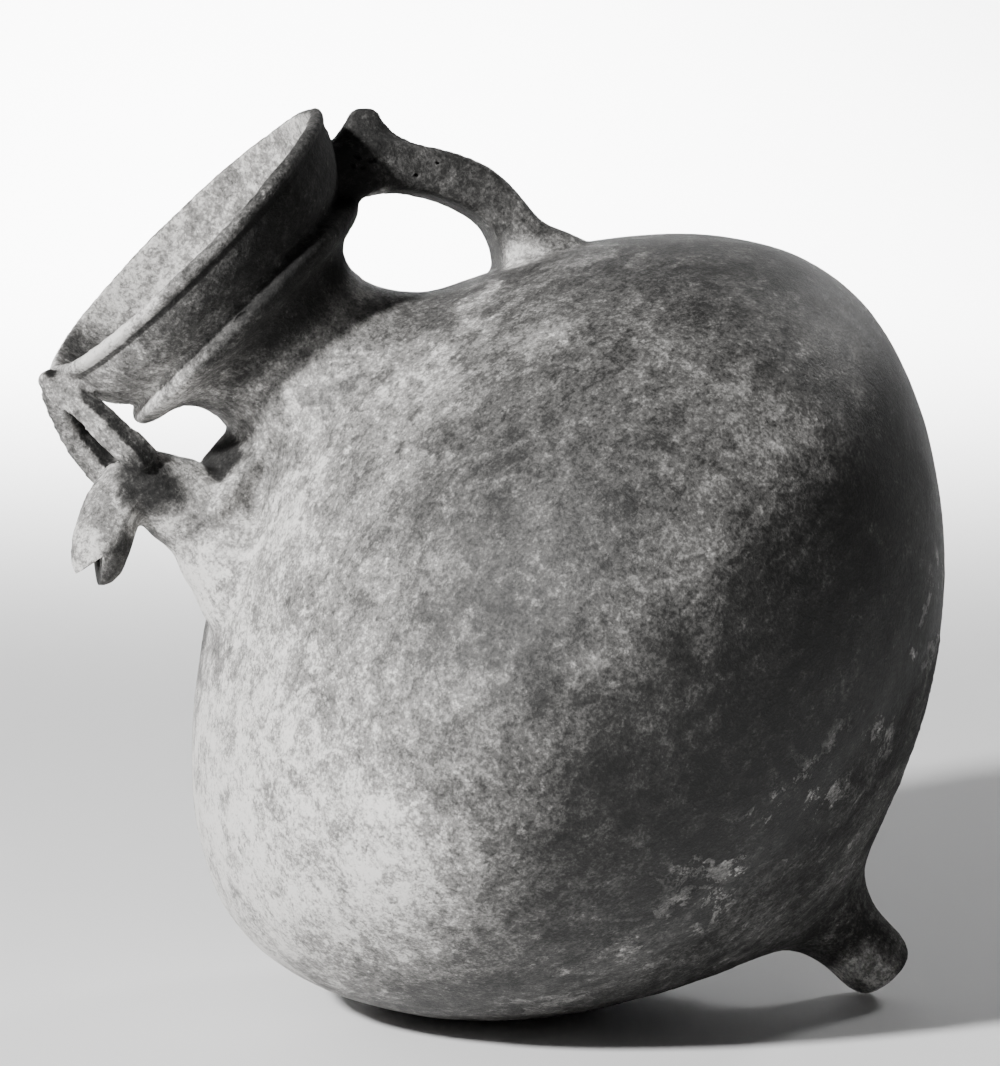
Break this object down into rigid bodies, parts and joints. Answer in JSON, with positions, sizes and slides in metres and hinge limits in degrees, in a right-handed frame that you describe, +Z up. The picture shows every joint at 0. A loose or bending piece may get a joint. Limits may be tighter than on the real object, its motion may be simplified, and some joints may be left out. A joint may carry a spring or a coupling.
{
  "type": "double spout vessel",
  "caption": "Round clay jar lying tipped on its belly, with a flaring collared mouth, a horned animal-head pouring spout, a strap handle with a thumb lug and a peg foot.",
  "frame": {"origin": "centre of the small flat on the belly that the jar rests on, at floor level", "axes": "+Z up; the jar's own axis lies in the XZ plane, leaning 43.6 degrees from upright, so the mouth points to -X and up and the peg foot to +X and down; +Y is away from the picture's camera"},
  "size_m": [0.2681, 0.2617, 0.2687],
  "materials": {
    "clay": "burnished, mottled and worn"
  },
  "bodies": {
    "root": {"vessel": "clay"}
  },
  "joints": []
}
